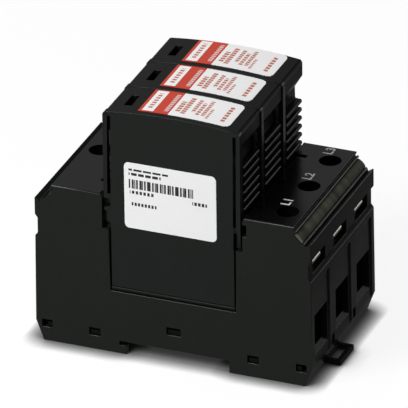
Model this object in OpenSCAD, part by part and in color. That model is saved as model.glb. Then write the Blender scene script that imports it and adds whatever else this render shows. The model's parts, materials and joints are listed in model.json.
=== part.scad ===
// Pluggable three-pole surge arrester for a 35 mm rail.
// Millimetres. X runs across the rail, Y along it, Z away from it.
// The origin is the middle of the rail seat.

/* [Rail and poles] */
// Width of one pole along the rail
pole_pitch = 17.8; // [17.5:0.1:18.5]
// Width of the rail across its flanges
rail_w = 35; // [34.8:0.1:35.4]
// Thickness of the rail flange
rail_t = 1; // [1:0.1:1.5]
// Play of the rail in its slot, each side
rail_play = 0.4; // [0.3:0.05:0.6]
// How far hook and latch reach under the flange
hook_reach = 1.9; // [1.5:0.1:2.2]
// How far the legs reach below the rail seat
leg_h = 4.2; // [4.1:0.1:5]

/* [Base] */
// Length of the base across the rail
base_l = 90; // [88:0.5:94]
// Wall thickness of the base
wall_t = 2; // [1.6:0.1:2.1]
// Height of the shoulders above the rail seat
shoulder_h = 49.7; // [48.5:0.1:54]
// Width of the shoulder slope
slope_w = 5.3; // [5:0.1:5.6]
// Height of the shoulder slope
slope_h = 5.3; // [5:0.1:5.6]
// How much each end wall widens towards its foot
draft = 0.3; // [0:0.05:0.6]
// Width of the bottom corner chamfer
foot_cut_w = 2.5; // [2:0.1:3]
// Height of the bottom corner chamfer
foot_cut_h = 6.7; // [6.3:0.1:7.2]
// Lower edge of the groove in the end walls
groove_lo = 31.5; // [31:0.1:32]
// Height of the groove in the end walls
groove_h = 7.3; // [6.8:0.1:7.6]
// Depth of the groove in the end walls
groove_d = 0.85; // [0.6:0.05:1.1]
// Height of the ledge below the groove
ledge_h = 2.6; // [2:0.1:3]
// Depth of the panels between ledge and pilasters
proud = 0.45; // [0.3:0.05:0.6]
// Width of the pilasters between the poles
pilaster_w = 4.8; // [4:0.1:5.4]
// Width of the marker strip
strip_w = 3.4; // [3:0.1:3.6]
// Thickness of the marker strip
strip_t = 1.1; // [0.9:0.1:1.3]

/* [Terminals] */
// Width of a wire opening
wire_w = 10.7; // [9.5:0.1:10.8]
// Height of a wire opening
wire_h = 12; // [11:0.1:12.4]
// Lower edge of a wire opening
wire_z = 6.5; // [6.2:0.1:7]
// Length of a clamp across the rail
clamp_l = 9.4; // [9:0.1:9.8]
// Diameter of the screw access holes
access_d = 7; // [6.6:0.1:7.4]
// Diameter of the clamp screws
screw_d = 6; // [5:0.1:6]
// Thickness of the contact tongue
tongue_t = 2; // [1.6:0.1:2.2]
// Distance of the plug sockets from the panel edge
socket_in = 6.1; // [5.8:0.1:6.6]
// Thickness of the plug blades
blade_t = 2; // [1.6:0.1:2.2]
// Width of the plug blades
blade_w = 9; // [8:0.1:9.4]

/* [Plugs] */
// Gap between neighbouring plugs
plug_gap = 0.4; // [0.3:0.05:0.6]
// Width of a plug across the rail
plug_l = 44.6; // [43.8:0.1:45]
// Width of the wings beside the plug panel
wing = 2.2; // [1.9:0.1:2.5]
// Lower edge of the plugs
plug_z = 17.4; // [17:0.1:18]
// Height of the cap crown above the rail seat
crown_z = 79.2; // [78.5:0.1:82]
// Radius of the cap crown
crown_r = 182; // [150:1:240]
// Thickness of the near plate of a plug
plate_t = 2; // [1.6:0.1:2.4]
// Width of the slots in the plate
slot_w = 1.1; // [0.9:0.05:1.3]
// Number of grip ribs on each end
rib_n = 6; // [4:1:6]
// Pitch of the grip ribs
rib_pitch = 2.84; // [2.7:0.02:2.9]
// Thickness of the grip ribs at the tip
rib_t = 1.2; // [0.9:0.1:1.4]
// Length of the grip ribs
rib_l = 12.6; // [11:0.1:13]

/* [Rail latch] */
// Width of the latch along the rail
latch_w = 11.4; // [10:0.1:12]
// Place of the latch along the rail
latch_y = -5.2; // [-6:0.1:0]
// How far the latch stands out of the base
latch_out = 3.3; // [2:0.1:5]
// Thickness of the latch
latch_t = 1.6; // [1.4:0.1:1.7]
// Travel of the latch
latch_travel = 3.4; // [2:0.1:3.5]

/* [Hidden] */
$fn = 48;
poles = 3;
body_black = [0.12, 0.13, 0.125];
floor_black = [0.17, 0.18, 0.175];
strip_grey = [0.30, 0.31, 0.27];
zinc = [0.70, 0.71, 0.72];
tin = [0.78, 0.76, 0.70];
paper = [0.93, 0.92, 0.91];
oxide = [0.20, 0.24, 0.30];
// base
width = pole_pitch * poles;
bx = base_l / 2;
by = width / 2;
in_y = by - wall_t;
play = 0.3;
rib_wall = 1.6;
foot_z = foot_cut_h - leg_h;
foot_x = bx + draft;
ledge_z = groove_lo - ledge_h;
groove_run = 1.1;
groove_hi = groove_lo + groove_h;
wall_x = bx - proud;
slope_a = atan2(slope_h, slope_w);
slope_l = sqrt(slope_h * slope_h + slope_w * slope_w);
// recess in the slope: u runs down the slope, depths below it
lip_t = 0.35;
valley_w = 0.4;
fold_u = 0.55;
ridge_u = 1;
ridge_d = 0.85;
fold_d = 1.55;
chan_side = 0.15;
chan_w = strip_w + 2 * chan_side;
chan_u = 1.7;
chan_d = 2.1;
rail_d = 1.45;
rail_u = chan_u + chan_w + 0.8;
well_floor = plug_z - 0.4;
well_t = 2;
panel_l = plug_l - 2 * wing;
well_lo = panel_l / 2 + 0.4;
well_hi = plug_l / 2 + 0.5;
step_z = shoulder_h - 11.7;
chamber_x = well_hi + wall_t;
chamber_top = shoulder_h - 4.5;
rim_cut_w = 1.6;
rim_cut_l = 4.2;
rim_cut_d = 3;
// floor
floor_top = 2;
seat_hook_z = -rail_t - rail_play;
slot_l = rail_w / 2 + rail_play;
slot_r = rail_w / 2 + rail_play + 0.2;
hook_x = rail_w / 2 - hook_reach;
floor_cut = wall_t + 0.6;
// terminals
clamp_side = 1.1;
clamp_in = wire_w / 2 + 0.05;
clamp_out = clamp_in + clamp_side;
clamp_lo = 2.5;
clamp_up = 4;
tongue_z = wire_z + wire_h + 0.4;
clamp_up_z = tongue_z + tongue_t + 0.4;
screw_tip = tongue_z + tongue_t + 0.3;
lift = wire_h - 0.2;
head_z = clamp_up_z + clamp_up + lift + 0.5;
head_d = 8;
head_h = 3.6;
tongue_w = 2 * clamp_in - 1.6;
riser_t = 1.2;
riser_x = chamber_x + 2.05;
tab_t = 1;
tab_gap = 1.2;
tab_x = wall_x - wall_t - tab_gap - tab_t;
clamp_room = tab_x - riser_x - riser_t;
clamp_len = min(clamp_l, clamp_room - 0.8);
screw_x = riser_x + riser_t + clamp_room / 2;
pocket_z = groove_lo + groove_run + 0.3;
sight_x = bx - groove_d - 0.5;
sight_z = pocket_z + 2;
sight_w = 7.2;
roll_r = 1;
socket_x = panel_l / 2 - socket_in;
leaf_t = 0.9;
leaf_gap = blade_t / 2 + 0.06;
leaf_top = well_floor - well_t - 1;
strip_z = floor_top;
bus_t = 1;
blade_tip = strip_z + bus_t + 2;
blade_rise = 20;
// plugs
half_gap = plug_gap / 2;
plug_y = pole_pitch / 2 - half_gap;
plate_y = -plug_y;
core_y = plate_y + plate_t;
core_x = panel_l / 2 - 0.5;
cap_x = plug_l / 2 - 0.3;
wing_x = plug_l / 2;
neck_x = core_x - 0.1;
rib_top = crown_z - 14.3;
neck_z = rib_top + 3.6;
cap_lo = crown_z - 6.5;
cap_hi = crown_z - 2.7;
corner_r = 1.7;
// windows and bridges of the wings, from the step of the well up
wing_lo = step_z + 1.1;
bridge_z = step_z + 6;
bridge_h = 1.8;
hook_lo = step_z + 2;
hook_in = 1.3;
hook_z = step_z + 6.5;
bar_h = 0.8;
key_z = step_z + 10.4;
key_h = 1.7;
slot_x = panel_l / 2 - 0.3;
shell_t = 1.8;
cave_x = core_x - shell_t - 0.3;
cave_top = crown_z - 5;
eye_in = 4.7;
eye_w = 2.5;
eye_l = 7;
label_t = 0.15;
label_y = 0.9;
block_x = socket_x - blade_t / 2;
block_y = blade_w / 2 - 0.1;
// rims of the well: a ledge under the grip ribs, clear of them
rib_root = 0.6;
rib_low = rib_top - (rib_n - 1) * rib_pitch - rib_t - rib_root;
rim_x = cap_x + play;
rim_z = min(rib_low - 0.4, shoulder_h - 0.6);
// latch
latch_top = -leg_h + 0.2 + latch_t;
tunnel_top = latch_top + play;
wing_w = 1;
wing_t = latch_t / 2;
wing_in = slot_r + 2.4;
wing_out = bx - 9;
latch_end = bx + latch_out;
bar_w = 1.4;
leg_l = bx - slot_r;
leg_web = 2.2;
spring_a = slot_r + 0.22 * leg_l;
post_x = slot_r + 0.48 * leg_l;
post_l = 1.7;

function pole_at(i) = (i - (poles + 1) / 2) * pole_pitch;
function both(h) = concat(h, [for (k = [len(h) - 1:-1:0]) [-h[k][0], h[k][1]]]);

// lays a drawing of X and Z along Y, from y0 on
module along_y(len, y0) {
    translate([0, y0 + len, 0])
        rotate([90, 0, 0])
            linear_extrude(height = len)
                children();
}

// places a drawing on a shoulder slope, first axis down the slope
module on_slope(side) {
    mirror([side < 0 ? 1 : 0, 0])
        translate([bx - slope_w, shoulder_h])
            rotate(-slope_a)
                children();
}

module block(x0, x1, y0, y1, z0, z1) {
    translate([x0, y0, z0])
        cube([x1 - x0, y1 - y0, z1 - z0]);
}

module rail_slot() {
    polygon([
        [-hook_x, -leg_h - 2], [-hook_x, seat_hook_z],
        [-slot_l, seat_hook_z], [-slot_l, 0],
        [slot_r, 0], [slot_r, -leg_h - 2]
    ]);
}

module base_outline() {
    polygon(both([
        [foot_x - foot_cut_w, -leg_h],
        [foot_x, foot_z],
        [bx, groove_lo],
        [bx - groove_d, groove_lo + groove_run],
        [bx - groove_d, groove_hi - groove_run],
        [bx, groove_hi],
        [bx, shoulder_h - slope_h],
        [bx - slope_w, shoulder_h]
    ]));
}

// recess of the shoulder slope: fold, ridge, channel of the strip, rail and lip
module slope_recess() {
    polygon([
        [0, 0], [fold_u, -fold_d], [ridge_u, -fold_d], [ridge_u, -ridge_d],
        [chan_u, -ridge_d], [chan_u, -chan_d],
        [chan_u + chan_w, -chan_d], [chan_u + chan_w, -rail_d],
        [rail_u, -rail_d], [slope_l - lip_t - valley_w, -chan_d + 0.1],
        [slope_l - lip_t, 0], [slope_l, 2], [0, 2]
    ]);
}

// panel of one pole in an end wall, parallel to the wall
module wall_panel() {
    polygon([
        [bx + draft, ledge_z + proud + draft], [bx - proud, ledge_z],
        [foot_x - proud, foot_z], [foot_x - proud, foot_z - 3],
        [foot_x + 1, foot_z - 3], [foot_x + 1, ledge_z + proud + draft]
    ]);
}

module well() {
    polygon(both([
        [well_lo, well_floor],
        [well_lo, rim_z],
        [rim_x, rim_z],
        [rim_x, shoulder_h + 2]
    ]));
}

// room in both rims for the wings of one plug
module wing_pocket() {
    polygon(both([
        [well_hi, step_z],
        [well_hi, shoulder_h - 1],
        [well_hi + 0.8, shoulder_h],
        [well_hi + 0.8, shoulder_h + 2]
    ]));
}

// room for a terminal and its screw, open below
module chamber() {
    in_x = wall_x - wall_t;
    polygon([
        [-0.1, -leg_h - 1], [in_x - foot_cut_w, -leg_h - 1],
        [in_x - foot_cut_w, -leg_h], [in_x, foot_z],
        [in_x, groove_lo - ledge_h],
        [bx - groove_d - 1.7, groove_lo], [bx - groove_d - 1.7, groove_hi],
        [bx - slope_w - 0.6, chamber_top], [chamber_x, chamber_top],
        [chamber_x, step_z - wall_t], [well_lo + wall_t, step_z - wall_t - 1],
        [well_lo + wall_t, well_floor - well_t], [-0.1, well_floor - well_t]
    ]);
}

module chambers() {
    for (i = [1:poles]) {
        lo = i == 1 ? -in_y : pole_at(i) - pole_pitch / 2 + rib_wall / 2;
        hi = i == poles ? in_y : pole_at(i) + pole_pitch / 2 - rib_wall / 2;
        along_y(hi - lo, lo) {
            chamber();
            mirror([1, 0])
                chamber();
        }
    }
}

// wire opening, pocket in the groove and screw hole of one terminal
module terminal_cuts() {
    translate([0, -wire_w / 2, 0]) {
        translate([screw_x, 0, wire_z])
            cube([bx, wire_w, wire_h]);
        translate([0, wire_w, 0])
            rotate([90, 0, 0])
                linear_extrude(height = wire_w)
                    polygon([
                        [wall_x - 1.2, wire_z + 0.1],
                        [wall_x + 1, wire_z - 2.1],
                        [wall_x + 1, wire_z + 0.1]
                    ]);
        translate([bx - groove_d - 3, 0, pocket_z])
            cube([6, wire_w, groove_hi - pocket_z]);
    }
    translate([screw_x, 0, chamber_top - 1])
        cylinder(d = access_d, h = shoulder_h - chamber_top + 2);
}

// snap windows of one side wall: place, lower edge, width
window_h = 2.6;
window_gap = 0.3;
window_over = 0.95;
function windows() = [
    [-bx + 3.4, 0.4, 3.4], [-bx + 19.1, 0.4, 3.7], [0, 5.1, 4.6],
    [bx - 19.1, 0.4, 3.7], [bx - 3.4, 0.4, 3.4]
];

module base_housing() {
    color(body_black)
    difference() {
        along_y(width, -by)
            base_outline();
        along_y(width + 2, -by - 1) {
            well();
            rail_slot();
            for (s = [-1, 1])
                on_slope(s)
                    slope_recess();
        }
        for (i = [1:poles])
            along_y(pole_pitch - pilaster_w, pole_at(i) - (pole_pitch - pilaster_w) / 2) {
                wall_panel();
                mirror([1, 0])
                    wall_panel();
            }
        chambers();
        // cuts in the rims of the well, one at each pole
        for (i = [1:poles], s = [-1, 1])
            translate([s * (rim_x + (rim_cut_l - 1) / 2), pole_at(i), shoulder_h])
                cube([rim_cut_l + 1, rim_cut_w, 2 * rim_cut_d], center = true);
        // pockets in the rims, where the wings of each plug go down
        for (i = [1:poles]) {
            lo = pole_at(i) - pole_pitch / 2 - (i == 1 ? 1 : half_gap);
            along_y(pole_at(i) + core_y + play - lo, lo)
                wing_pocket();
        }
        // seat of the floor, below the walls between the poles
        along_y(2 * in_y, -in_y)
            polygon(both([
                [wall_x - wall_t - foot_cut_w, -leg_h - 1],
                [wall_x - wall_t - foot_cut_w, -leg_h],
                [wall_x - wall_t - 0.1, foot_z - 0.3]
            ]));
        // terminals
        for (i = [1:poles])
            translate([0, pole_at(i), 0])
                terminal_cuts();
        mirror([1, 0, 0])
            terminal_cuts();
        // blade slits
        for (i = [1:poles], s = [-1, 1])
            translate([s * socket_x, pole_at(i), well_floor - well_t / 2])
                cube([blade_t + 1.2, blade_w + 1.2, well_t + 2], center = true);
        // way for the earth bus through the walls between the poles
        block(-socket_x - 3.6, -socket_x + 3.6, -pole_pitch, pole_pitch,
            floor_top - 0.1, strip_z + bus_t + 0.6);
        // snap windows
        for (w = windows(), s = [-1, 1])
            translate([w[0], s * (by - wall_t / 2), w[1] + window_h / 2])
                cube([w[2], wall_t + 2, window_h], center = true);
        for (k = [-1, 1], s = [-1, 1])
            translate([s * (bx - 0.6), k * pole_pitch / 2, foot_z + 1.2])
                cube([2.6, 2, 3.4], center = true);
        // pocket in the near wall beside the first plug
        block(well_hi - 0.2, well_hi + 1.3, -by - 1, -by + 2 * wall_t,
            bridge_z - 0.6, shoulder_h - 2.4);
        // way out for the latch
        block(bx - 12, bx + 1, latch_y - latch_w / 2 - play, latch_y + latch_w / 2 + play,
            -leg_h - 1, tunnel_top);
    }
}

module floor_outline() {
    run = foot_cut_w * (floor_top + leg_h) / foot_cut_h;
    polygon(both([
        [wall_x - floor_cut - foot_cut_w, -leg_h],
        [wall_x - floor_cut - foot_cut_w + run, floor_top]
    ]));
}

module base_floor() {
    leg_in = slot_r + leg_web;
    leg_out = bx - 8.5;
    color(floor_black)
    union() {
        difference() {
            along_y(2 * in_y - 0.4, -in_y + 0.2)
                floor_outline();
            along_y(width, -by)
                rail_slot();
            block(-leg_out, -leg_in, -in_y + 4, in_y - 4, -leg_h + 2, floor_top + 1);
            block(leg_in, leg_out, -in_y + 4, in_y - 4, tunnel_top + 1.6, floor_top + 1);
            // tunnel of the latch with a groove for its wings on each side
            block(slot_r - 1, bx, latch_y - latch_w / 2 - play, latch_y + latch_w / 2 + play,
                -leg_h - 1, tunnel_top);
            // room for the nose of the latch when it is drawn out
            block(slot_r - 1, slot_r + latch_travel + play, latch_y - latch_w / 2 - play,
                latch_y + latch_w / 2 + play, -leg_h - 1, seat_hook_z + play);
            block(slot_r + 1.6, bx - 5, latch_y - latch_w / 2 - wing_w - play,
                latch_y + latch_w / 2 + wing_w + play,
                latch_top - wing_t - play, tunnel_top);
        }
        // stop that the latch spring leans on
        block(post_x, post_x + post_l, latch_y - 2, latch_y + 2, -leg_h + 0.5, tunnel_top + 0.5);
        // snap tabs
        for (w = windows(), s = [-1, 1]) {
            edge = wall_x - floor_cut - 0.4;
            x0 = max(w[0] - w[2] / 2 + window_gap, -edge);
            x1 = min(w[0] + w[2] / 2 - window_gap, edge);
            top = w[1] + window_h - window_over;
            y = in_y - 0.2;
            block(x0, x1, s > 0 ? y - 1.4 : -y, s > 0 ? y : -y + 1.4, 0.2, top);
            block(x0, x1, s > 0 ? y - 0.2 : -by + 0.6, s > 0 ? by - 0.6 : -y + 0.2,
                w[1] + window_gap, top);
        }
    }
}

// domed strip that slides into the channel of the line side
module marker_strip() {
    dome_r = 4;
    color(strip_grey)
    along_y(width - 0.6, -by + 0.3)
        on_slope(1)
            translate([chan_u + chan_side, -chan_d])
                intersection() {
                    square([strip_w, strip_t]);
                    translate([strip_w / 2, strip_t - dome_r])
                        circle(r = dome_r, $fn = 96);
                }
}

// tongue, riser and sight tab of a terminal: the tab bends out into the pocket of the groove
// and ends there in a rolled edge
module terminal_bar() {
    near = -tongue_w / 2;
    far = near + sight_w;
    block(riser_x, riser_x + riser_t, near, tongue_w / 2, strip_z, tongue_z + tongue_t);
    block(riser_x, tab_x + tab_t, near, tongue_w / 2, tongue_z, tongue_z + tongue_t);
    block(tab_x, tab_x + tab_t, near, far, tongue_z, sight_z + tab_t);
    block(tab_x, sight_x - roll_r, near, far, sight_z, sight_z + tab_t);
    translate([sight_x - roll_r, near, sight_z + roll_r])
        rotate([-90, 0, 0])
            cylinder(r = roll_r, h = sight_w);
}

// the two leaves that hold a blade
module socket() {
    for (s = [-1, 1])
        translate([s * (leaf_gap + leaf_t / 2), 0, (strip_z + leaf_top) / 2])
            cube([leaf_t, blade_w - 1, leaf_top - strip_z], center = true);
    block(-leaf_gap - leaf_t, leaf_gap + leaf_t, -blade_w / 2 + 0.5, blade_w / 2 - 0.5,
        strip_z, strip_z + bus_t);
}

module line_contact(i) {
    color(tin)
    translate([0, pole_at(i), 0])
        union() {
            terminal_bar();
            translate([socket_x, 0, 0])
                socket();
            block(socket_x, riser_x + riser_t, -blade_w / 2 + 0.5, blade_w / 2 - 0.5,
                strip_z, strip_z + bus_t);
        }
}

module earth_busbar() {
    color(tin)
    mirror([1, 0, 0])
        union() {
            terminal_bar();
            for (i = [1:poles])
                translate([socket_x, pole_at(i), 0])
                    socket();
            block(socket_x - 3, socket_x + 3, pole_at(1) - blade_w / 2 + 0.5,
                pole_at(poles) + blade_w / 2 - 0.5, strip_z, strip_z + bus_t);
            block(socket_x, riser_x + riser_t, -blade_w / 2 + 0.5, blade_w / 2 - 0.5,
                strip_z, strip_z + bus_t);
        }
}

module clamp_cage(s, y) {
    color(zinc)
    translate([s * screw_x, y, 0])
        difference() {
            block(-clamp_len / 2, clamp_len / 2, -clamp_out, clamp_out,
                wire_z - clamp_lo, clamp_up_z + clamp_up);
            block(-clamp_len, clamp_len, -clamp_in, clamp_in, wire_z, clamp_up_z);
            translate([0, 0, clamp_up_z - 1])
                cylinder(d = screw_d + 0.12, h = clamp_up + 2);
        }
}

module clamp_screw(s, y) {
    color(zinc)
    translate([s * screw_x, y, 0])
        difference() {
            union() {
                translate([0, 0, screw_tip])
                    cylinder(d = screw_d, h = head_z - screw_tip + 0.5);
                translate([0, 0, head_z])
                    cylinder(d = head_d, h = head_h);
            }
            for (a = [0, 90])
                rotate(a)
                    translate([0, 0, head_z + head_h])
                        cube([4.4, 1.1, 3.2], center = true);
            translate([0, 0, head_z + head_h])
                cube([head_d + 1, 0.9, 1.8], center = true);
        }
}

module crown_cut() {
    translate([0, pole_pitch, crown_z - crown_r])
        rotate([90, 0, 0])
            cylinder(r = crown_r, h = 2 * pole_pitch, $fn = 180);
}

// round upper corner of an end at x, up to the crown
function end_corner(x) = concat(
    [for (a = [0:15:90]) [x - corner_r * (1 - cos(a)), cap_hi + corner_r * sin(a)]],
    [[x - corner_r, crown_z + 1]]
);

module core_outline() {
    polygon(both(concat([
        [core_x, plug_z],
        [core_x, rib_top],
        [neck_x, rib_top + 0.2],
        [neck_x, neck_z],
        [cap_x, cap_lo]
    ], end_corner(cap_x))));
}

// near plate of a plug: a full wing on the line side, a key and a hook on the other
module plate_outline() {
    edge = panel_l / 2;
    corner = end_corner(wing_x);
    line_side = concat(
        [[edge, plug_z], [edge, wing_lo], [wing_x, wing_lo]], corner);
    key_side = concat(
        [[edge, plug_z], [edge, hook_lo], [edge + hook_in, hook_lo + 0.9],
        [edge + hook_in, hook_z - 0.6], [wing_x - 0.2, hook_z], [wing_x - 0.2, hook_z + bar_h],
        [edge + 0.1, hook_z + bar_h + 0.6], [edge + 0.1, key_z], [wing_x, key_z]], corner);
    polygon(concat(line_side, [for (k = [len(key_side) - 1:-1:0]) [-key_side[k][0], key_side[k][1]]]));
}

// slots beside the panel: above the bridge on both sides, below it on the line side
module plate_slots() {
    block(slot_x, slot_x + slot_w, plate_y - 1, plate_y + plate_t, bridge_z + bridge_h, cap_hi);
    block(slot_x, slot_x + slot_w, plate_y - 1, plate_y + plate_t, wing_lo - 1, bridge_z);
    block(-slot_x - slot_w, -slot_x, plate_y - 1, plate_y + plate_t, key_z + key_h, cap_hi);
}

module grip_ribs() {
    for (k = [0:rib_n - 1]) {
        z = rib_top - k * rib_pitch;
        along_y(rib_l, plug_y - 0.8 - rib_l) {
            polygon([
                [core_x - 0.5, z - rib_t - rib_root], [cap_x, z - rib_t],
                [cap_x, z], [core_x - 0.5, z]
            ]);
            mirror([1, 0])
                polygon([
                    [core_x - 0.5, z - rib_t - rib_root], [cap_x, z - rib_t],
                    [cap_x, z], [core_x - 0.5, z]
                ]);
        }
    }
}

module plug_housing(i) {
    color(body_black)
    translate([0, pole_at(i), 0])
        difference() {
            union() {
                intersection() {
                    union() {
                        along_y(plug_y - core_y, core_y)
                            core_outline();
                        difference() {
                            along_y(plate_t, plate_y)
                                plate_outline();
                            plate_slots();
                        }
                    }
                    crown_cut();
                }
                grip_ribs();
            }
            // room inside, open below
            block(-cave_x, cave_x, plate_y + shell_t, plug_y - shell_t, plug_z - 1, rib_top - 2);
            block(-cave_x + 0.9, cave_x - 0.9, plate_y + shell_t, plug_y - shell_t,
                rib_top - 3, cave_top);
            // sight slot in the cap
            block(-cap_x + eye_in, -cap_x + eye_in + eye_w, -eye_l / 2, eye_l / 2,
                crown_z - 4.6, crown_z + 1);
            // line above the lower edge of the panel
            block(-panel_l, panel_l, plate_y - 1, plate_y + 0.35, plug_z + 0.9, plug_z + 1.4);
        }
}

module plug_floor(i) {
    color(floor_black)
    translate([0, pole_at(i), 0])
        difference() {
            block(-cave_x + 0.05, cave_x - 0.05, plate_y + shell_t + 0.05, plug_y - shell_t - 0.05,
                plug_z, plug_z + 2);
            for (s = [-1, 1])
                translate([s * socket_x, 0, plug_z + 1])
                    cube([blade_t + 0.04, blade_w + 0.04, 4], center = true);
        }
}

module arrester(i) {
    color(oxide)
    translate([0, pole_at(i), 0])
        block(-block_x, block_x, -block_y, block_y, plug_z + 6, rib_top - 4);
}

module blade(i, s) {
    color(tin)
    translate([s * socket_x, pole_at(i), 0])
        union() {
            block(-blade_t / 2, blade_t / 2, -blade_w / 2, blade_w / 2, blade_tip + 1, plug_z + blade_rise);
            block(-blade_t / 2 + 0.4, blade_t / 2 - 0.4, -blade_w / 2 + 0.8, blade_w / 2 - 0.8,
                blade_tip, blade_tip + 1.5);
        }
}

module cap_label(i) {
    lx0 = -cap_x + 10.5;
    lx1 = cap_x - 4.2;
    ly = plug_y - 1.3;
    r = 1.6;
    color(paper)
    translate([0, pole_at(i) + label_y, 0])
        intersection() {
            difference() {
                translate([0, pole_pitch, crown_z - crown_r])
                    rotate([90, 0, 0])
                        cylinder(r = crown_r + label_t, h = 2 * pole_pitch, $fn = 180);
                crown_cut();
            }
            translate([0, 0, crown_z - 5])
                linear_extrude(height = 8)
                    polygon([
                        [lx0, -ly], [lx1 - r, -ly], [lx1 - 0.3 * r, -ly + 0.3 * r], [lx1, -ly + r],
                        [lx1, ly - r], [lx1 - 0.3 * r, ly - 0.3 * r], [lx1 - r, ly], [lx0, ly]
                    ]);
        }
}

module side_label() {
    x0 = -panel_l / 2 + 4.7;
    x1 = panel_l / 2 - 5.6;
    z0 = step_z + 1.8;
    z1 = rib_top - 2.9;
    r = 1.5;
    color(paper)
    along_y(label_t, pole_at(1) + plate_y - label_t)
        union() {
            translate([x0 + r, z0])
                square([x1 - x0 - 2 * r, z1 - z0]);
            translate([x0, z0 + r])
                square([x1 - x0, z1 - z0 - 2 * r]);
            for (x = [x0 + r, x1 - r], z = [z0 + r, z1 - r])
                translate([x, z])
                    circle(r = r);
        }
}

module rail_latch() {
    half = latch_w / 2;
    low = -leg_h + 0.2;
    nose = hook_x;
    color(body_black)
    translate([0, latch_y, 0])
        difference() {
            union() {
                block(slot_r + 0.6, latch_end, -half, half, low, latch_top);
                block(wing_in, wing_out, -half - wing_w, half + wing_w, latch_top - wing_t, latch_top);
                along_y(latch_w, -half)
                    polygon([
                        [nose + 1.6, low], [slot_r + 2, low],
                        [slot_r + 2, latch_top], [slot_r - 0.4, latch_top],
                        [slot_r - 0.4, seat_hook_z - 0.1], [nose, seat_hook_z - 0.1]
                    ]);
            }
            // screwdriver loop
            block(latch_end - bar_w - 3.2, latch_end - bar_w, -half + bar_w, half - bar_w,
                low - 1, latch_top + 1);
            // room of the spring
            block(spring_a - 0.3, post_x + post_l + latch_travel + 0.5, -2.4, 2.4,
                low - 1, latch_top + 1);
        }
}

// flat wire bent to and fro between the latch and its stop
module latch_spring() {
    turns = 7;
    wire = 0.4;
    step = (post_x - spring_a - wire) / turns;
    reach = 1.9;
    color(zinc)
    translate([spring_a, latch_y, -leg_h + 0.5])
        linear_extrude(height = latch_t - 0.6)
            union() {
                for (k = [0:turns])
                    translate([k * step, -reach])
                        square([wire, 2 * reach]);
                for (k = [0:turns - 1])
                    translate([k * step, k % 2 == 0 ? reach - wire : -reach])
                        square([step + wire, wire]);
            }
}

base_housing();
base_floor();
rail_latch();
latch_spring();
marker_strip();
line_contact(1);  // line_contact_1
line_contact(2);  // line_contact_2
line_contact(3);  // line_contact_3
earth_busbar();
clamp_cage(1, pole_at(1));  // line_clamp_1
clamp_cage(1, pole_at(2));  // line_clamp_2
clamp_cage(1, pole_at(3));  // line_clamp_3
clamp_cage(-1, 0);  // earth_clamp
clamp_screw(1, pole_at(1));  // line_screw_1
clamp_screw(1, pole_at(2));  // line_screw_2
clamp_screw(1, pole_at(3));  // line_screw_3
clamp_screw(-1, 0);  // earth_screw
plug_housing(1);  // plug_housing_1
plug_housing(2);  // plug_housing_2
plug_housing(3);  // plug_housing_3
plug_floor(1);  // plug_floor_1
plug_floor(2);  // plug_floor_2
plug_floor(3);  // plug_floor_3
arrester(1);  // arrester_1
arrester(2);  // arrester_2
arrester(3);  // arrester_3
blade(1, 1);  // line_blade_1
blade(2, 1);  // line_blade_2
blade(3, 1);  // line_blade_3
blade(1, -1);  // earth_blade_1
blade(2, -1);  // earth_blade_2
blade(3, -1);  // earth_blade_3
cap_label(1);  // cap_label_1
cap_label(2);  // cap_label_2
cap_label(3);  // cap_label_3
side_label();
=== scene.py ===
# %% [markdown]
# The frame
#
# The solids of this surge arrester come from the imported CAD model, in metres, already in place.
# A dressed scene could rebuild every piece, but the moulded shapes are right as they are. So the
# scene keeps them, rounds the edges of copies where light would catch them, and spends its effort
# on finishes, print and light.

# %% Load the solids
import json
import math

import bmesh
import bpy
from mathutils import Matrix, Vector
from mathutils.geometry import intersect_point_line


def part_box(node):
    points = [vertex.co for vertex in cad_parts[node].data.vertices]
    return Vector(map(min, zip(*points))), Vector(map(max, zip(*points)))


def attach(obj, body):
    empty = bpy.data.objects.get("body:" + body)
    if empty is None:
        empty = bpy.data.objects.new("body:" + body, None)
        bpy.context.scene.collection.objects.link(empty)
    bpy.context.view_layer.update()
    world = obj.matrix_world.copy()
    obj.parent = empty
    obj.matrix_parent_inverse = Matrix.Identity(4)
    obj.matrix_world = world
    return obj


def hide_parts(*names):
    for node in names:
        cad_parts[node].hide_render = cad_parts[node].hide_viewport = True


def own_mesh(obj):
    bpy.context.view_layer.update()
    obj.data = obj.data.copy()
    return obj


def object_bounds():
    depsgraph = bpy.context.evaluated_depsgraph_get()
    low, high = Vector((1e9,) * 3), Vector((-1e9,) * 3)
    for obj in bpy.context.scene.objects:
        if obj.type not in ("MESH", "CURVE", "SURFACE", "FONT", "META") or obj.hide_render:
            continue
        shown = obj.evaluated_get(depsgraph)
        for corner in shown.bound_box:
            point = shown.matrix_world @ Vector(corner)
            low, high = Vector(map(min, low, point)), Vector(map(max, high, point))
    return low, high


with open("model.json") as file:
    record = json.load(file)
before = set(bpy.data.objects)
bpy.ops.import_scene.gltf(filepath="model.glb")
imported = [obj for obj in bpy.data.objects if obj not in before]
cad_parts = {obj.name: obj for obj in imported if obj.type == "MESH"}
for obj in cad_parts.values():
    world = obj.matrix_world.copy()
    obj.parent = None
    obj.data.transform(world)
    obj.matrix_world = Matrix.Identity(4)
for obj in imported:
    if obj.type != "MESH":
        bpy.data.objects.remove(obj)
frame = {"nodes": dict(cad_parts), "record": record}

MM = 0.001
POLES = (1, 2, 3)
cad_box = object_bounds()
nodes = frame["nodes"]
behaviour = frame["record"]["behaviour"]
body_of = {node: body for body, members in behaviour["bodies"].items() for node in members}
front = cad_box[0][1]
ground = cad_box[0][2]

# %% [markdown]
# The camera
#
# A product picture like this one is taken from far away with a long lens, so parallel edges stay
# parallel. The lens length and distance are set together: the longer the lens, the further back
# the camera stands, and the size in the picture stays the same. The aim point and the two angles
# then place it, and a small roll matches the tilt of the picture.

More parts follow.
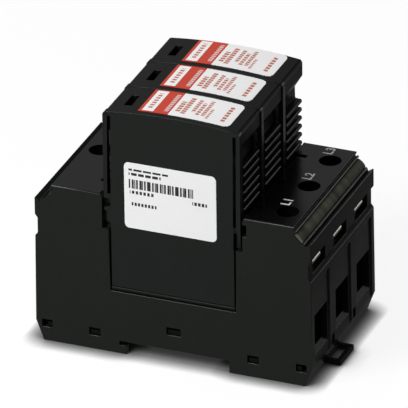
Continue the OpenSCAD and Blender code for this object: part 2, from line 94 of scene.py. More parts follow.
# %% Place the camera
AZIMUTH = math.radians(22.011)
ELEVATION = math.radians(27.604)
ROLL = math.radians(0.745)
DISTANCE = 3044.25 * MM
AIM_RIGHT = 9.166 * MM
AIM_UP = 48.376 * MM
FOCAL_PIXELS = 10000
FRAME_PIXELS = 408
SENSOR = 36.0
FAR_CLIP = 20

right = Vector((math.cos(AZIMUTH), math.sin(AZIMUTH), 0))
ahead = Vector((
    -math.sin(AZIMUTH) * math.cos(ELEVATION),
    math.cos(AZIMUTH) * math.cos(ELEVATION),
    -math.sin(ELEVATION),
))
down = ahead.cross(right)
rolled_right = right * math.cos(ROLL) + down * math.sin(ROLL)
rolled_down = down * math.cos(ROLL) - right * math.sin(ROLL)
front_foot = Vector((0, front, ground))
aim = front_foot + rolled_right * AIM_RIGHT - rolled_down * AIM_UP
lens = bpy.data.cameras.new("camera")
lens.lens = FOCAL_PIXELS / FRAME_PIXELS * SENSOR
lens.sensor_width = SENSOR
lens.clip_end = FAR_CLIP
camera = bpy.data.objects.new("camera", lens)
turn = Matrix((rolled_right, -rolled_down, -ahead)).transposed()
camera.matrix_world = Matrix.Translation(aim - ahead * DISTANCE) @ turn.to_4x4()
bpy.context.scene.collection.objects.link(camera)
bpy.context.scene.camera = camera
print("lens", round(lens.lens, 1), "mm, aim", [round(v / MM, 1) for v in aim])

# %% [markdown]
# Finishes
#
# Every finish is a small tree of nodes on Object coordinates, so that grain keeps its real size
# on each piece. Painted images would do too, but a noise has no seams and no end of detail. The
# helpers below each add one node: a noise, a range for its values, a blend of two colours, a relief
# that tilts the surface without moving it, and a gloss that follows the grain.

# %% Helpers for finishes
NOISE_LOW = 0.3
NOISE_HIGH = 0.7


def new_finish(name):
    finish = bpy.data.materials.new(name)
    finish.use_nodes = True
    tree = finish.node_tree
    shader = tree.nodes["Principled BSDF"]
    coords = tree.nodes.new("ShaderNodeTexCoord")
    return finish, tree, shader, coords.outputs["Object"]


def noise(tree, where, scale, detail):
    node = tree.nodes.new("ShaderNodeTexNoise")
    node.inputs["Scale"].default_value = scale
    node.inputs["Detail"].default_value = detail
    tree.links.new(where, node.inputs["Vector"])
    return node.outputs["Fac"]


def ramp(tree, value, start, end, low, high):
    node = tree.nodes.new("ShaderNodeMapRange")
    for name, number in (("From Min", start), ("From Max", end), ("To Min", low), ("To Max", high)):
        node.inputs[name].default_value = number
    tree.links.new(value, node.inputs["Value"])
    return node.outputs["Result"]


def spread(tree, value, low, high):
    return ramp(tree, value, NOISE_LOW, NOISE_HIGH, low, high)


def blend_colours(tree, factor, first, second):
    node = tree.nodes.new("ShaderNodeMix")
    node.data_type = "RGBA"
    for socket, colour in ((6, first), (7, second)):
        if isinstance(colour, tuple):
            node.inputs[socket].default_value = (*colour, 1)
        else:
            tree.links.new(colour, node.inputs[socket])
    tree.links.new(factor, node.inputs[0])
    return node.outputs[2]


def relief(tree, shader, height, depth):
    node = tree.nodes.new("ShaderNodeBump")
    node.inputs["Strength"].default_value = 1.0
    node.inputs["Distance"].default_value = depth
    tree.links.new(height, node.inputs["Height"])
    tree.links.new(node.outputs["Normal"], shader.inputs["Normal"])


def uneven_gloss(tree, shader, grain, rough, swing):
    tree.links.new(spread(tree, grain, rough - swing, rough + swing), shader.inputs["Roughness"])


print("a noise is spread from", NOISE_LOW, "to", NOISE_HIGH)

# %% [markdown]
# Black plastic
#
# A moulded housing is not one flat colour: spark-eroded tools leave a fine grain, and the resin
# varies a little over the face. One black for all would hide that some faces are more polished
# than others, so each kind of face has its own black and gloss. The lighter black of the plug side
# plates is painted light, and the darker blacks of the plugs, shoulders, groove lips, wire sills and
# screw holes are painted shade. A noise at a third of a millimetre gives the grain and its uneven
# gloss, and a slow one gives the drift in colour.

# %% Plastics
DRIFT_SCALE = 60
GRAIN_SCALE = 3200
GRAIN_DEPTH = 0.012 * MM
GRAIN_SWING = 0.06
GREENISH = (0.92, 1.0, 0.92, 1)


def moulded(name, dark, light, rough, specular=0.35):
    finish, tree, shader, where = new_finish(name)
    drift = noise(tree, where, DRIFT_SCALE, 4)
    grain = noise(tree, where, GRAIN_SCALE, 2)
    tree.links.new(blend_colours(tree, drift, dark, light), shader.inputs["Base Color"])
    uneven_gloss(tree, shader, grain, rough, GRAIN_SWING)
    shader.inputs["Specular IOR Level"].default_value = specular
    shader.inputs["Specular Tint"].default_value = GREENISH
    relief(tree, shader, grain, GRAIN_DEPTH)
    return finish


housing_black = moulded("housing_black", (0.0050, 0.0056, 0.0050), (0.0066, 0.0074, 0.0066), 0.32)
# painted light: a lighter black for the plug side plates, the faces towards the front and back
plate_lit_black = moulded("plate_lit_black", (0.0048, 0.0053, 0.0050), (0.0062, 0.0068, 0.0065), 0.32)
# painted shade: a darker black for the caps and ribbed ends of the plugs
plug_shade_black = moulded("plug_shade_black", (0.0024, 0.0027, 0.0025), (0.0034, 0.0038, 0.0036), 0.36, 0.22)
# matt, and painted shade: a darker black for the groove lips
matt_shade_black = moulded("matt_shade_black", (0.0034, 0.0039, 0.0034), (0.0046, 0.0052, 0.0046), 0.6, 0.12)
# polished, and painted shade: a darker black for the flat shoulders
shoulder_shade_black = moulded("shoulder_shade_black", (0.0010, 0.0012, 0.0010), (0.0018, 0.0021, 0.0018), 0.19, 0.44)
# painted shade: a rough near-black with hardly any gloss for the deep screw holes
hole_shade_black = moulded("hole_shade_black", (0.0006, 0.0008, 0.0006), (0.0012, 0.0014, 0.0012), 0.7, 0.03)
# less glossy, and painted shade: a darker black for the wire sills
sill_shade_black = moulded("sill_shade_black", (0.0042, 0.0047, 0.0042), (0.0056, 0.0062, 0.0056), 0.45, 0.2)
floor_black = moulded("floor_black", (0.0018, 0.0020, 0.0018), (0.0026, 0.0029, 0.0026), 0.6, 0.12)
latch_black = moulded("latch_black", (0.0034, 0.0039, 0.0034), (0.0046, 0.0052, 0.0046), 0.5, 0.2)
oxide_coat = moulded("oxide_coat", (0.03, 0.05, 0.11), (0.05, 0.08, 0.16), 0.35)
print("materials so far:", len(bpy.data.materials))

# %% [markdown]
# The olive strip
#
# The marker strip is a duller, olive plastic with pale streaks across it. A noise that is stretched
# ten times across the strip and left alone along it draws such streaks, and they also lie in the
# surface as a faint relief.

# %% Streaked plastic
STREAK_STRETCH = (0.1, 1, 0.1)
STREAK_SCALE = 420
STREAK_DEPTH = 0.03 * MM
STRIP_GRAIN = 2600
STRIP_SWING = 0.08
STRIP_SPECULAR = 0.12


def stretched(tree, where, stretch):
    node = tree.nodes.new("ShaderNodeMapping")
    node.inputs["Scale"].default_value = stretch
    tree.links.new(where, node.inputs["Vector"])
    return node.outputs["Vector"]


def streaked(name, dark, light, rough):
    finish, tree, shader, where = new_finish(name)
    streaks = noise(tree, stretched(tree, where, STREAK_STRETCH), STREAK_SCALE, 3)
    grain = noise(tree, where, STRIP_GRAIN, 2)
    tint = blend_colours(tree, spread(tree, streaks, 0, 1), dark, light)
    tree.links.new(tint, shader.inputs["Base Color"])
    uneven_gloss(tree, shader, grain, rough, STRIP_SWING)
    shader.inputs["Specular IOR Level"].default_value = STRIP_SPECULAR
    relief(tree, shader, streaks, STREAK_DEPTH)
    return finish


strip_olive = streaked("strip_olive", (0.034, 0.036, 0.027), (0.108, 0.112, 0.083), 0.65)
print("streaks about", round(1 / STREAK_SCALE / MM, 1), "mm wide")

# %% [markdown]
# Metal
#
# Clamps, screws and contacts are metal with a thin plating, and the spring is drawn wire. Both look
# cloudy rather than even. A full metal shader with two greys and a noisy roughness is enough at this
# size; scratches would never be seen through the openings.

# %% Metals
CLOUD_SCALE = 300
PLATING_GRAIN = 2500
PLATING_DEPTH = 0.004 * MM
PLATING_SWING = 0.1


def plated(name, dull, bright, rough):
    finish, tree, shader, where = new_finish(name)
    cloud = noise(tree, where, CLOUD_SCALE, 5)
    grain = noise(tree, where, PLATING_GRAIN, 3)
    tree.links.new(blend_colours(tree, cloud, dull, bright), shader.inputs["Base Color"])
    uneven_gloss(tree, shader, grain, rough, PLATING_SWING)
    shader.inputs["Metallic"].default_value = 1.0
    relief(tree, shader, grain, PLATING_DEPTH)
    return finish


zinc_steel = plated("zinc_steel", (0.50, 0.51, 0.53), (0.66, 0.67, 0.68), 0.35)
tinned_copper = plated("tinned_copper", (0.46, 0.44, 0.39), (0.60, 0.57, 0.51), 0.42)
spring_steel = plated("spring_steel", (0.38, 0.39, 0.41), (0.50, 0.51, 0.53), 0.3)
print("materials with the metals:", len(bpy.data.materials))

# %% [markdown]
# Edges with room for a radius
#
# A real moulding has no sharp edge: the tool is cut with a small radius, and each edge shows as a
# thin light line. The bevel could be a modifier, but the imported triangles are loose, so a copy of
# the mesh is merged first and its flat faces are joined again. Only edges that are long enough to
# carry a radius are chosen. An edge on a narrow strip, or with another corner close beside it, has
# no room, and its bevel would fold over, so it stays sharp.

# %% Choose the crisp edges
MERGE = 0.002 * MM
FLAT = math.radians(0.5)
SHARP = math.radians(30)
FACE_RADII = 4
ROOM_RADII = 2.2


def merged_copy(node):
    form = bmesh.new()
    form.from_mesh(nodes[node].data)
    bmesh.ops.remove_doubles(form, verts=form.verts, dist=MERGE)
    bmesh.ops.dissolve_limit(form, angle_limit=FLAT, verts=form.verts, edges=form.edges)
    return form


def crowded(edge, room):
    start, end = (v.co for v in edge.verts)
    corners = {v for f in edge.link_faces for v in f.verts} - set(edge.verts)
    for corner in corners:
        foot, share = intersect_point_line(corner.co, start, end)
        if 0 < share < 1 and (foot - corner.co).length < room:
            return True
    return False


def on_wide_faces(edge, radius):
    least = max((FACE_RADII * radius) ** 2, ROOM_RADII * radius * edge.calc_length())
    return min(f.calc_area() for f in edge.link_faces) > least


def crisp_edges(form, radius, shortest):
    return [
        e for e in form.edges
        if len(e.link_faces) == 2
        and e.calc_length() > shortest
        and e.calc_face_angle(0) > SHARP
        and on_wide_faces(e, radius)
        and not crowded(e, ROOM_RADII * radius)
    ]


trial = merged_copy("rail_latch")
print("latch, merged:", len(trial.faces), "faces,", len(trial.edges), "edges")
trial.free()

# %% [markdown]
# A moulded copy
#
# Each moulding in full view becomes a new piece that stands in for its CAD node, on the same body.
# The chosen edges are bevelled with three segments, tiny seams left by the bevel are closed, and
# weighted normals keep the large faces flat while the light runs round the edges. A moulding may
# bring a rule for edges that are softer than the rest, and one for edges that stay sharp.

# %% Helpers for moulded copies
SEAM = 0.001 * MM
CRISP_SEGMENTS = 3
SMOOTH = math.radians(40)
FLAT_WEIGHT = 90


def round_edges(form, edges, radius, segments):
    bmesh.ops.bevel(
        form, geom=edges, offset=radius, segments=segments, profile=0.5,
        affect="EDGES", clamp_overlap=False, material=-1,
    )


def close_seams(form):
    bmesh.ops.remove_doubles(form, verts=form.verts, dist=SEAM)
    bmesh.ops.dissolve_degenerate(form, edges=form.edges, dist=SEAM)


def new_piece(name, mesh, body, finish):
    piece = bpy.data.objects.new(name, mesh)
    bpy.context.scene.collection.objects.link(piece)
    mesh.materials.clear()
    mesh.materials.append(finish)
    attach(piece, body)
    return piece


def moulded_copy(node, name, radius, shortest, finish, soften=None, hidden=None):
    form = merged_copy(node)
    if soften:
        soften(form)
    edges = crisp_edges(form, radius, shortest)
    if hidden:
        edges = [e for e in edges if not hidden(e)]
    round_edges(form, edges, radius, CRISP_SEGMENTS)
    close_seams(form)
    mesh = bpy.data.meshes.new(name)
    form.to_mesh(mesh)
    form.free()
    mesh.shade_smooth()
    mesh.set_sharp_from_angle(angle=SMOOTH)
    piece = new_piece(name, mesh, body_of[node], finish)
    even = piece.modifiers.new("flat_faces", "WEIGHTED_NORMAL")
    even.keep_sharp = True
    even.weight = FLAT_WEIGHT
    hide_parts(node)
    print(name, "edges rounded:", len(edges), "faces:", len(mesh.polygons))
    return piece


print("seams narrower than", SEAM / MM, "mm are closed")

# %% [markdown]
# The base housing
#
# The base is one large black moulding. Its long edges along the shoulders and beside the plugs are
# softer than the rest, so they get a larger radius first. Edges closed in under the plugs and on the
# walls between the poles are hardly ever seen, and a bevel there would fold the faces of the thin
# walls, so they stay sharp.

# %% Soft edges of the base
SOFT_RADIUS = 0.5 * MM
SOFT_SEGMENTS = 5
LONG_EDGE = 10 * MM
NEAR = 0.2 * MM
WELL_HALF = 20.5 * MM
base_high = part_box("base_housing")[1]


def is_soft(edge):
    a, b = (v.co for v in edge.verts)
    on_wall = min(abs(a.y), abs(b.y)) > base_high.y - NEAR
    on_top = min(a.z, b.z) > base_high.z - NEAR
    beside_plug = abs(abs(a.x) - WELL_HALF) < NEAR and abs(a.x - b.x) < NEAR
    return on_wall and (on_top or beside_plug) and edge.calc_length() > LONG_EDGE


def soften_shoulders(form):
    soft = [e for e in form.edges if is_soft(e)]
    round_edges(form, soft, SOFT_RADIUS, SOFT_SEGMENTS)
    print("soft edges:", len(soft))


print("shoulders at", round(base_high.z / MM, 2), "mm, side wall at", round(base_high.y / MM, 2), "mm")

# %% Base housing
EDGE_RADIUS = 0.16 * MM
EDGE_SHORTEST = 1.2 * MM
INSIDE_X = 30 * MM
INSIDE_Y = 25 * MM
INSIDE_TOP = 14.9 * MM
WALL_AREA = 1000 * MM * MM


def is_inside(point):
    return abs(point.x) < INSIDE_X and abs(point.y) < INSIDE_Y and point.z < INSIDE_TOP


def between_poles(face):
    inner = abs(face.calc_center_median().y) < INSIDE_Y
    return inner and abs(face.normal.y) > 0.99 and face.calc_area() > WALL_AREA


def closed_in(edge):
    return all(is_inside(v.co) for v in edge.verts) or any(between_poles(f) for f in edge.link_faces)


base_shell = moulded_copy(
    "base_housing", "base_shell", EDGE_RADIUS, EDGE_SHORTEST, housing_black,
    soften=soften_shoulders, hidden=closed_in,
)

# %% [markdown]
# Faces with a finish of their own
#
# One moulding can have several surfaces: the flat shoulders are polished and mirror the plugs, and
# the groove lips and the wire sills are left matt. These faces also get a darker black than the
# rest, which is painted shade, and the deep screw holes get a rough near-black with hardly any
# gloss, painted shade for their depth. A separate mesh for each would cut the moulding up, so the
# faces are picked by their place and the way they look, and get a finish of their own in the same mesh.

# %% Pick the faces of the base
LIP_LOW = 31.3 * MM
LIP_HIGH = 32.8 * MM
HOLE_REACH = 3.8 * MM
SILL_TOP = 8 * MM
SILL_INSIDE = 36 * MM
shoulder = base_high.z


def middle(node):
    low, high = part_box(node)
    return (low + high) / 2


screw_axes = [middle(node).xy for node in nodes if "_screw" in node]


def on_groove_lip(face):
    sloped = abs(face.normal.x) > 0.6 and face.normal.z > 0.5
    return sloped and LIP_LOW < face.center.z < LIP_HIGH


def in_screw_hole(face):
    beside = min((face.center.xy - axis).length for axis in screw_axes)
    return beside < HOLE_REACH and face.center.z < shoulder - NEAR


def on_shoulder(face):
    return face.normal.z > 0.99 and face.center.z > shoulder - NEAR


def on_wire_sill(face):
    sloped = abs(face.normal.x) > 0.3 and face.normal.z > 0.3
    return sloped and face.center.z < SILL_TOP and abs(face.center.x) > SILL_INSIDE


print("screw holes:", len(screw_axes))


# %% Finish the picked faces
def refinish(piece, finish, wanted):
    piece.data.materials.append(finish)
    chosen = [f for f in piece.data.polygons if wanted(f)]
    for f in chosen:
        f.material_index = len(piece.data.materials) - 1
    return len(chosen)


print("faces of the groove lips:", refinish(base_shell, matt_shade_black, on_groove_lip))
print("faces of the screw holes:", refinish(base_shell, hole_shade_black, in_screw_hole))
print("faces of the shoulders:", refinish(base_shell, shoulder_shade_black, on_shoulder))
print("faces of the wire sills:", refinish(base_shell, sill_shade_black, on_wire_sill))

# %% [markdown]
# The plugs
#
# Each plug is a black moulding with a domed cap and ribs at its ends, where fingers grip it. The
# upper edges of the ribs are well rounded, which a bevel of their long edges gives. The large side
# plates are polished a little more than the ribbed ends and get their own finish, a lighter black
# that is painted light on the faces towards the front and back. The rest of the plug, caps and
# ribbed ends, gets a darker black, which is painted shade.

# %% Plugs
RIB_RADIUS = 0.6 * MM
RIB_SEGMENTS = 4
RIB_END = 0.6 * MM
RIBS_BELOW = 14.3 * MM
PLATE_AREA = 60 * MM * MM
rib_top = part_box("plug_housing_1")[1].z - RIBS_BELOW


def is_rib(edge, reach):
    a, b = (v.co for v in edge.verts)
    lengthwise = abs(a.x - b.x) < NEAR and abs(a.z - b.z) < NEAR and edge.calc_length() > LONG_EDGE
    at_end = abs(a.x) > reach - RIB_END and a.z < rib_top + NEAR
    return lengthwise and at_end and max(f.normal.z for f in edge.link_faces) > 0.9


def soften_ribs(form):
    reach = max(abs(v.co.x) for v in form.verts)
    ribs = [e for e in form.edges if is_rib(e, reach)]
    round_edges(form, ribs, RIB_RADIUS, RIB_SEGMENTS)
    print("rounded ribs:", len(ribs))


def on_side_plate(face):
    return abs(face.normal.y) > 0.9 and face.area > PLATE_AREA


for pole in POLES:
    plug_shell = moulded_copy(
        f"plug_housing_{pole}", f"plug_shell_{pole}", EDGE_RADIUS, EDGE_SHORTEST,
        plug_shade_black, soften=soften_ribs,
    )
    print("plate faces:", refinish(plug_shell, plate_lit_black, on_side_plate))

# %% [markdown]
# The latch and the marker strip
#
# The latch is a thin black slide with a loop for a screwdriver, and the marker strip is a domed
# strip in the slope of the shoulder. Both are small mouldings, so their radii are smaller and
# shorter edges are rounded too.

# %% Latch and marker strip
LATCH_RADIUS = 0.12 * MM
LATCH_SHORTEST = 0.6 * MM
STRIP_RADIUS = 0.1 * MM
STRIP_SHORTEST = 1.0 * MM
moulded_copy("rail_latch", "latch_slide", LATCH_RADIUS, LATCH_SHORTEST, latch_black)
moulded_copy("marker_strip", "marker", STRIP_RADIUS, STRIP_SHORTEST, strip_olive)

# %% [markdown]
# The latch spring
#
# Behind the latch lies a flat wire bent to and fro, which pushes the latch back in. When the latch is
# pulled out, the spring is pressed together against its stop. A simulated spring would be far
# too much for a piece this small, so the spring is a moulded copy with a mesh of its own.

# %% Latch spring
WIRE_RADIUS = 0.06 * MM
WIRE_SHORTEST = 0.3 * MM
latch_spring = moulded_copy(
    "latch_spring", "bent_spring", WIRE_RADIUS, WIRE_SHORTEST, spring_steel,
)
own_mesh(latch_spring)

# %% [markdown]
# Pieces that keep their CAD shape
#
# The floor of the base and the parts inside are seen only from below, through openings or when a
# plug is pulled. New meshes for them would gain nothing, so the CAD nodes stay as they are and only
# get a finish.

# %% Finishes of the carried solids
carried = {
    "base_floor": floor_black, "earth_busbar": tinned_copper,
    "earth_clamp": zinc_steel, "earth_screw": zinc_steel,
}
for pole in POLES:
    carried.update({
        f"line_contact_{pole}": tinned_copper, f"line_clamp_{pole}": zinc_steel,
        f"line_screw_{pole}": zinc_steel, f"plug_floor_{pole}": floor_black,
        f"arrester_{pole}": oxide_coat, f"line_blade_{pole}": tinned_copper,
        f"earth_blade_{pole}": tinned_copper,
    })


def dress(node, finish):
    nodes[node].data.materials.clear()
    nodes[node].data.materials.append(finish)


for node, finish in carried.items():
    dress(node, finish)
print("carried solids with a finish:", len(carried))

# %% [markdown]
# Print on film
#
# The labels are white film with a little print. The print could be an image, but fields of colour
# are enough here: each field is a rectangle in the label's own millimetres, and a Compare node on
# each axis asks whether a point lies inside it. A row of dashes is such a field with a repeat along
# it. All fields of one ink are joined with Maximum nodes and mixed over the paper.

# %% Fields of ink
def axes_in_mm(tree, where):
    split = tree.nodes.new("ShaderNodeSeparateXYZ")
    scaled = tree.nodes.new("ShaderNodeVectorMath")
    scaled.operation = "SCALE"
    scaled.inputs["Scale"].default_value = 1 / MM
    tree.links.new(where, scaled.inputs[0])
    tree.links.new(scaled.outputs[0], split.inputs[0])
    return split.outputs


def arithmetic(tree, operation, *values):
    node = tree.nodes.new("ShaderNodeMath")
    node.operation = operation
    for k, value in enumerate(values):
        if isinstance(value, (int, float)):
            node.inputs[k].default_value = value
        else:
            tree.links.new(value, node.inputs[k])
    return node.outputs[0]


def field(tree, across, along, x0, x1, y0, y1):
    inside_x = arithmetic(tree, "COMPARE", across, (x0 + x1) / 2, (x1 - x0) / 2)
    inside_y = arithmetic(tree, "COMPARE", along, (y0 + y1) / 2, (y1 - y0) / 2)
    return arithmetic(tree, "MULTIPLY", inside_x, inside_y)


def dash_row(tree, run, cross, run_span, cross_span, pitch_mm, share):
    phase = arithmetic(tree, "WRAP", run, pitch_mm, 0)
    inked = arithmetic(tree, "LESS_THAN", phase, pitch_mm * share)
    return arithmetic(tree, "MULTIPLY", field(tree, run, cross, *run_span, *cross_span), inked)


def joined(tree, fields):
    total = fields[0]
    for one in fields[1:]:
        total = arithmetic(tree, "MAXIMUM", total, one)
    return total


# %% White film
FILM_GRAIN = 1500
FILM_DEPTH = 0.003 * MM
FILM_SPECULAR = 0.4
FILM_ROUGH = 0.44
FILM_SWING = 0.06
PAPER_DRIFT = 90


def film(name):
    finish, tree, shader, where = new_finish(name)
    grain = noise(tree, where, FILM_GRAIN, 2)
    shader.inputs["Specular IOR Level"].default_value = FILM_SPECULAR
    uneven_gloss(tree, shader, grain, FILM_ROUGH, FILM_SWING)
    relief(tree, shader, grain, FILM_DEPTH)
    drift = noise(tree, where, PAPER_DRIFT, 3)
    paper = blend_colours(tree, drift, (0.87, 0.87, 0.87), (0.92, 0.92, 0.92))
    return finish, tree, shader, where, paper


print("film grain about", round(1 / FILM_GRAIN / MM, 2), "mm")

# %% [markdown]
# Cap labels
#
# The label on each cap has a red frame and panel at one end and rows of small red print. One film
# serves all three: the coordinate along the row of plugs is wrapped at the pole pitch, so the same
# print falls on every cap. The rows are plain dashes in place of words.

# %% Red fields of the cap labels
FRAME_LINE = 0.55
OVERHANG = 1
pole_y = {pole: middle(f"line_screw_{pole}").y for pole in POLES}
pitch = pole_y[2] - pole_y[1]
label_low, label_high = (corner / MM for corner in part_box("cap_label_2"))
label_length = label_high.x - label_low.x
label_width = label_high.y - label_low.y
label_mid = (label_low.y + label_high.y) / 2
cap_film, tree, shader, where, paper = film("cap_film")
axes = axes_in_mm(tree, where)
across = arithmetic(tree, "SUBTRACT", axes["X"], label_low.x)
centred = arithmetic(tree, "SUBTRACT", axes["Y"], label_mid)
along = arithmetic(tree, "WRAP", centred, pitch / MM / 2, -pitch / MM / 2)
band_end = 0.035 * label_length
panel_start = 0.16 * label_length
panel_end = 0.33 * label_length
inner = label_width / 2 - FRAME_LINE
outer = label_width / 2 + OVERHANG
red_fields = [
    field(tree, across, along, -OVERHANG, band_end, -outer, outer),
    field(tree, across, along, panel_start, panel_end, -outer, outer),
    field(tree, across, along, -OVERHANG, panel_end, -outer, -inner),
    field(tree, across, along, -OVERHANG, panel_end, inner, outer),
]
red_ink = joined(tree, red_fields)
print("cap label", round(label_length, 1), "by", round(label_width, 1), "mm")
print("one label every", round(pitch / MM, 1), "mm")

# %% Rows of the cap labels
INK_RED = (0.58, 0.055, 0.03)
INK_FINE = (0.52, 0.17, 0.11)
INK_PALE = (0.72, 0.55, 0.53)
# share of the length where a row starts, its height, its ends across the label, pitch and ink share
CAP_ROWS = (
    (0.075, 1.4, -5.2, 5.2, 1.6, 0.60),
    (0.370, 1.5, -4.6, 2.2, 1.5, 0.72),
    (0.435, 1.5, -5.4, 5.2, 1.4, 0.75),
    (0.530, 1.2, -3.2, 5.0, 1.3, 0.70),
    (0.590, 1.2, -4.8, 3.4, 1.5, 0.68),
    (0.650, 1.2, -4.4, 5.4, 1.2, 0.70),
    (0.710, 0.9, -5.6, 0.8, 1.1, 0.60),
    (0.875, 1.3, -5.0, 5.0, 1.7, 0.70),
)
PALE_ROW = (0.262, 1.35, -5.8, 5.8, 1.3, 0.72)


def cap_row(share, height, start, end, pitch_mm, ink):
    foot = share * label_length
    return dash_row(tree, along, across, (start, end), (foot, foot + height), pitch_mm, ink)


fine_ink = joined(tree, [cap_row(*row) for row in CAP_ROWS])
pale_ink = cap_row(*PALE_ROW)
printed = blend_colours(tree, fine_ink, paper, INK_FINE)
printed = blend_colours(tree, red_ink, printed, INK_RED)
printed = blend_colours(tree, pale_ink, printed, INK_PALE)
tree.links.new(printed, shader.inputs["Base Color"])
for pole in POLES:
    dress(f"cap_label_{pole}", cap_film)
print("rows on a cap label:", len(CAP_ROWS) + 1)

# %% [markdown]
# The side label
#
# The near plug carries a white label with black print: a block of upright bars, and a few short
# rows above and below it. Two rows of dashes with different pitches over each other make bars of
# uneven width and spacing.

# %% Side label
INK_BLACK = (0.02, 0.02, 0.02)
side_low, side_high = (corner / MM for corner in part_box("side_label"))
side_width = side_high.x - side_low.x
side_height = side_high.z - side_low.z
side_film, tree, shader, where, paper = film("side_film")
axes = axes_in_mm(tree, where)
run = arithmetic(tree, "SUBTRACT", axes["X"], side_low.x)
fall = arithmetic(tree, "SUBTRACT", side_high.z, axes["Z"])

# left and right end, upper and lower edge as shares of the label, pitch in mm and share of ink
SIDE_ROWS = (
    (0.05, 0.75, 0.25, 0.39, 1.30, 0.42),
    (0.05, 0.75, 0.25, 0.39, 0.83, 0.40),
    (0.05, 0.48, 0.09, 0.12, 3.10, 0.85),
    (0.05, 0.40, 0.15, 0.19, 2.30, 0.80),
    (0.06, 0.33, 0.42, 0.47, 1.25, 0.62),
    (0.08, 0.35, 0.60, 0.65, 1.10, 0.65),
    (0.74, 0.90, 0.44, 0.49, 1.20, 0.70),
)


def side_row(left, right_end, top, bottom, pitch_mm, ink):
    run_span = (left * side_width, right_end * side_width)
    fall_span = (top * side_height, bottom * side_height)
    return dash_row(tree, run, fall, run_span, fall_span, pitch_mm, ink)


black_ink = joined(tree, [side_row(*row) for row in SIDE_ROWS])
printed = blend_colours(tree, black_ink, paper, INK_BLACK)
tree.links.new(printed, shader.inputs["Base Color"])
dress("side_label", side_film)
print("side label", round(side_width, 1), "by", round(side_height, 1), "mm, rows:", len(SIDE_ROWS))

# %% [markdown]
# Terminal marks
#
# Each line terminal carries its phase mark in white beside the screw hole. Pad printing lays ink
# a few hundredths of a millimetre thick, so the mark is a thin solid of text that lies on the
# shoulder. It is made a mesh before it is placed, so that its place is in its mesh.

# %% White ink
INK_DRIFT = 1200
INK_GRAIN = 2400
INK_DEPTH = 0.004 * MM
INK_ROUGH = 0.5
INK_SWING = 0.08
mark_white, tree, shader, where = new_finish("mark_white")
drift = noise(tree, where, INK_DRIFT, 3)
ink = blend_colours(tree, drift, (0.84, 0.84, 0.83), (0.92, 0.92, 0.91))
tree.links.new(ink, shader.inputs["Base Color"])
grain = noise(tree, where, INK_GRAIN, 2)
uneven_gloss(tree, shader, grain, INK_ROUGH, INK_SWING)
relief(tree, shader, grain, INK_DEPTH)
print("ink:", mark_white.name)

# %% Phase marks
MARK_SIZE = 4.1 * MM
MARK_HALF = 0.015 * MM
MARK_SPACING = 1.15
MARK_STROKE = 0.12 * MM
MARK_X = 33.1 * MM
MARK_Y = 3.7 * MM


def text_mesh(words):
    holder = bpy.data.objects.new("mark_text", words)
    bpy.context.scene.collection.objects.link(holder)
    bpy.context.view_layer.update()
    ready = holder.evaluated_get(bpy.context.evaluated_depsgraph_get())
    mesh = bpy.data.meshes.new_from_object(ready)
    bpy.data.objects.remove(holder)
    return mesh


for pole in POLES:
    words = bpy.data.curves.new(f"mark_{pole}", "FONT")
    words.body = f"L{pole}"
    words.size = MARK_SIZE
    words.extrude = MARK_HALF
    words.space_character = MARK_SPACING
    words.offset = MARK_STROKE
    mesh = text_mesh(words)
    place = Matrix.Translation((MARK_X, pole_y[pole] + MARK_Y, shoulder + MARK_HALF))
    mesh.transform(place @ Matrix.Rotation(math.radians(90), 4, "Z"))
    form = bmesh.new()
    form.from_mesh(mesh)
    close_seams(form)
    bmesh.ops.recalc_face_normals(form, faces=form.faces)
    form.to_mesh(mesh)
    form.free()
    mesh.name = f"phase_mark_{pole}"
    new_piece(f"phase_mark_{pole}", mesh, "base", mark_white)
print("phase marks:", len(POLES), "each", round(2 * MARK_HALF / MM, 2), "mm thick")

# %% [markdown]
# The floor
#
# The object stands on a plain white sheet. Black plastic shows little of its own colour: most of
# what is seen on it is the room in its gloss. So the floor looks white to the camera but is a plain
# grey to the object, with a dark band painted at the right that the end walls mirror, a painted
# shade that stands for a darker room there. Close to the object the white fades by ambient
# occlusion, which paints the contact shadow.

# %% Floor sheet
FLOOR_SIZE = 3
sheet = bmesh.new()
bmesh.ops.create_grid(sheet, x_segments=1, y_segments=1, size=FLOOR_SIZE)
bmesh.ops.translate(sheet, verts=sheet.verts, vec=(0, 0, ground))
floor_mesh = bpy.data.meshes.new("studio_floor")
sheet.to_mesh(floor_mesh)
sheet.free()
studio_floor = bpy.data.objects.new("studio_floor", floor_mesh)
bpy.context.scene.collection.objects.link(studio_floor)
print("floor at", round(ground / MM, 2), "mm")

# %% Paint of the floor
FLOOR_GREY = 0.32
# painted shade: the dark band in the floor paint, seen in reflections, stands for a darker room at the
# right
FLOOR_DARK = 0.03
FLOOR_ROUGH = 0.9
SEEN_SHARE = 0.35
DARK_FROM = 66 * MM
DARK_TO = 71 * MM
PALE_FROM = 140 * MM
PALE_TO = 200 * MM


def along_direction(tree, where, direction):
    node = tree.nodes.new("ShaderNodeVectorMath")
    node.operation = "DOT_PRODUCT"
    node.inputs[1].default_value = direction
    tree.links.new(where, node.inputs[0])
    return node.outputs["Value"]


floor_pale, tree, shader, where = new_finish("floor_pale")
path = tree.nodes.new("ShaderNodeLightPath").outputs
rightward = along_direction(tree, where, (1, 0, 0))
beside = ramp(tree, rightward, DARK_FROM, DARK_TO, FLOOR_GREY, FLOOR_DARK)
beyond = ramp(tree, rightward, PALE_FROM, PALE_TO, FLOOR_DARK, FLOOR_GREY)
paint = arithmetic(tree, "MAXIMUM", beside, beyond)
share = arithmetic(tree, "MULTIPLY_ADD", path["Is Camera Ray"], SEEN_SHARE - 1, 1)
grey = arithmetic(tree, "MULTIPLY", paint, share)
tree.links.new(grey, shader.inputs["Base Color"])
shader.inputs["Roughness"].default_value = FLOOR_ROUGH
shader.inputs["Specular IOR Level"].default_value = 0.0
floor_mesh.materials.append(floor_pale)
print("dark band from", round(DARK_TO / MM), "to", round(PALE_FROM / MM), "mm")
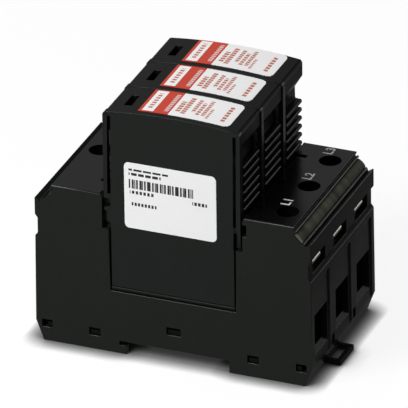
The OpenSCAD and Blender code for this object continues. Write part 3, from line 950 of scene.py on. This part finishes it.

# %% White for the camera, and the painted contact shadow
FLOOR_LIT = 0.95
GLOSS_LIFT = 0.15
CONTACT_REACH = 6.5 * MM
CONTACT_POWER = 4
shader.inputs["Emission Color"].default_value = (1, 1, 1, 1)
# painted shadow: near the object the white for the camera is faded by ambient occlusion
closeness = tree.nodes.new("ShaderNodeAmbientOcclusion")
closeness.inputs["Distance"].default_value = CONTACT_REACH
contact = arithmetic(tree, "POWER", closeness.outputs["AO"], CONTACT_POWER)
missing = arithmetic(tree, "MULTIPLY_ADD", grey, -FLOOR_LIT, 1)
whiten = arithmetic(tree, "MULTIPLY", missing, contact)
seen = arithmetic(tree, "MULTIPLY", path["Is Camera Ray"], whiten)
mirrored = arithmetic(tree, "MAXIMUM", path["Is Glossy Ray"], path["Is Transmission Ray"])
glow = arithmetic(tree, "MULTIPLY", paint, GLOSS_LIFT)
lift = arithmetic(tree, "MULTIPLY_ADD", mirrored, glow, seen)
tree.links.new(lift, shader.inputs["Emission Strength"])
print("contact shadow reaches", round(CONTACT_REACH / MM, 1), "mm")

# %% [markdown]
# The light
#
# A large lamp at the front left lights the labels, and a low one behind at the right draws the edges
# of strip, ridge and ribs. A lamp overhead would turn the screw holes grey, so the rest is a soft
# world: dim all round, brighter to the left and to the front.

# %% Lamps and world
LAMP_TARGET = Vector((0, 0, 0.03))
TO_LEFT = (-0.8, 0, 0.6)
TO_FRONT = (0, -0.94, 0.34)
WORLD_DIM = 0.03
WORLD_LEFT = 0.35
WORLD_FRONT = 0.3


def soft_lamp(name, place, size, power):
    lamp = bpy.data.lights.new(name, "AREA")
    lamp.size = size
    lamp.energy = power
    holder = bpy.data.objects.new(name, lamp)
    facing = (LAMP_TARGET - Vector(place)).to_track_quat("-Z", "Y")
    holder.matrix_world = Matrix.Translation(place) @ facing.to_matrix().to_4x4()
    bpy.context.scene.collection.objects.link(holder)


soft_lamp("key_lamp", place=(-0.45, -0.72, 0.82), size=0.5, power=14.0)
soft_lamp("edge_lamp", place=(0.6, 0.8, 0.17), size=0.4, power=1.1)
world = bpy.data.worlds.new("studio")
bpy.context.scene.world = world
world.use_nodes = True
tree = world.node_tree
sky = tree.nodes["Background"]
sky.inputs["Color"].default_value = (1, 1, 1, 1)
looking = tree.nodes.new("ShaderNodeTexCoord").outputs["Generated"]
left_light = ramp(tree, along_direction(tree, looking, TO_LEFT), 0.0, 0.7, WORLD_DIM, WORLD_LEFT)
front_light = ramp(tree, along_direction(tree, looking, TO_FRONT), 0.1, 0.7, WORLD_DIM, WORLD_FRONT)
tree.links.new(arithmetic(tree, "MAXIMUM", left_light, front_light), sky.inputs["Strength"])
bpy.context.scene.view_settings.view_transform = "Standard"
print("lamps:", len(bpy.data.lights))
